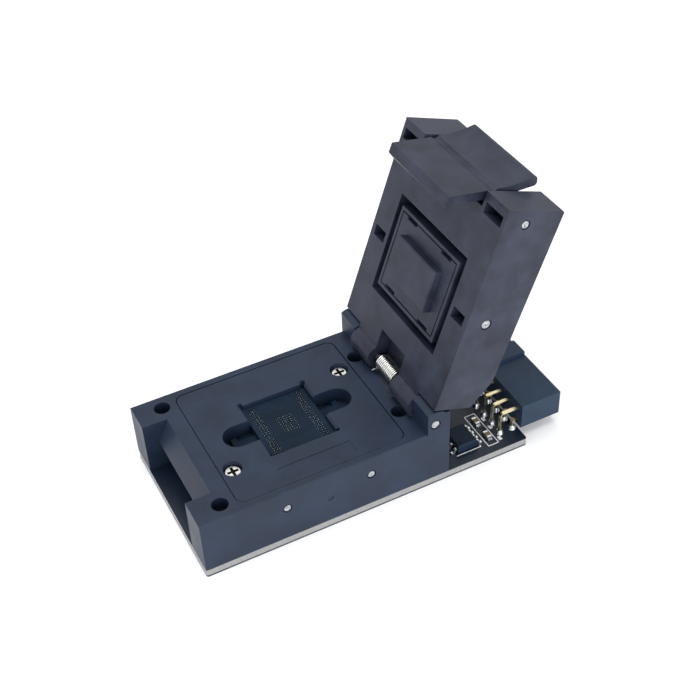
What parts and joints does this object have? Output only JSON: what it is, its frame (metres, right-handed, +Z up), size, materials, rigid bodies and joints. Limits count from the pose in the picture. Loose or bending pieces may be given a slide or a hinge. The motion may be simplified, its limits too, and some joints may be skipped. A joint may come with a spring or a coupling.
{
  "type": "bga socket adapter",
  "caption": "Clamshell test socket for ball-grid chips on a small board: hinged lid with latch and tilting pusher, sprung chip seat over probes, right-angle pin socket at the back.",
  "frame": {"origin": "middle of the bounding box in X and Y, at its bottom in Z, which is the board's underside", "axes": "X from the latch end to the pin header end along the board, Y across the board along the hinge pin, Z up from the board"},
  "size_m": [0.0678, 0.0306, 0.0522],
  "materials": {
    "board": "dark blue solder mask over glass-epoxy laminate",
    "base_moulding": "moulded in dark blue-grey plastic, fine texture",
    "lid_moulding": "moulded in dark grey plastic, fine texture",
    "probe_plate": "machined dark plastic",
    "probe_metal": "gold plated",
    "pin_steel": "ground steel",
    "screw_steel": "nickel plated steel",
    "spring_steel": "drawn spring wire",
    "header_plastic": "moulded in black plastic",
    "lead_gold": "gold plated, bent",
    "chip_plastic": "moulded epoxy",
    "tinned_metal": "tinned",
    "ceramic": "fired ceramic",
    "solder": "reflowed solder"
  },
  "bodies": {
    "base": {"circuit_board": "board", "base_screws": "screw_steel", "socket_base": "base_moulding", "retaining_pins": "pin_steel", "guide_plate": "base_moulding", "guide_plate_screws": "screw_steel", "contact_block_lower": "probe_plate", "contact_block_upper": "probe_plate", "contact_barrels": "probe_metal", "contact_pads": "probe_metal", "floating_plate_springs": "spring_steel", "hinge_pin": "pin_steel", "header_body": "header_plastic", "header_contacts_lower": "lead_gold", "header_contacts_upper": "lead_gold", "chip_body": "chip_plastic", "chip_leads": "tinned_metal", "capacitor_bodies": "ceramic", "capacitor_ends": "tinned_metal", "solder_joints": "solder"},
    "lid": {"lid_shell": "lid_moulding", "pusher_pin": "pin_steel", "latch_pin": "pin_steel", "pusher_springs": "spring_steel", "latch_springs": "spring_steel", "hinge_spring": "spring_steel"},
    "pusher": {"pusher_frame": "lid_moulding", "pusher_block": "lid_moulding"},
    "latch": {"latch": "lid_moulding"},
    "chip_seat": {"floating_plate": "base_moulding"},
    "probes": {"contact_plungers": "probe_metal"}
  },
  "joints": [
    {"name": "lid_hinge", "type": "hinge", "parent": "base", "child": "lid", "pos_m": [0.0077, 0, 0.01365], "axis": [0, -1, 0], "range_deg": [0, 109.45], "stiffness_Nm_per_rad": 0.0008, "springref_deg": -20.05},
    {"name": "pusher_tilt", "type": "hinge", "parent": "lid", "child": "pusher", "pos_m": [0.01652, 0, 0.03111], "axis": [0, 1, 0], "range_deg": [-2, 2], "stiffness_Nm_per_rad": 0.005},
    {"name": "latch_turn", "type": "hinge", "parent": "lid", "child": "latch", "pos_m": [0.02263, 0, 0.04783], "axis": [0, 1, 0], "range_deg": [0, 16.5]},
    {"name": "chip_seat_travel", "type": "slide", "parent": "base", "child": "chip_seat", "axis": [0, 0, -1], "range_m": [0, 0.0004], "stiffness_N_per_m": 500, "deforming": ["floating_plate_springs"]},
    {"name": "probe_travel", "type": "slide", "parent": "base", "child": "probes", "axis": [0, 0, -1], "range_m": [0, 0.0003], "stiffness_N_per_m": 1000}
  ],
  "couplings": [
    {"joint": "latch_turn", "follows": "lid_hinge", "ratio": 0.15075}
  ]
}
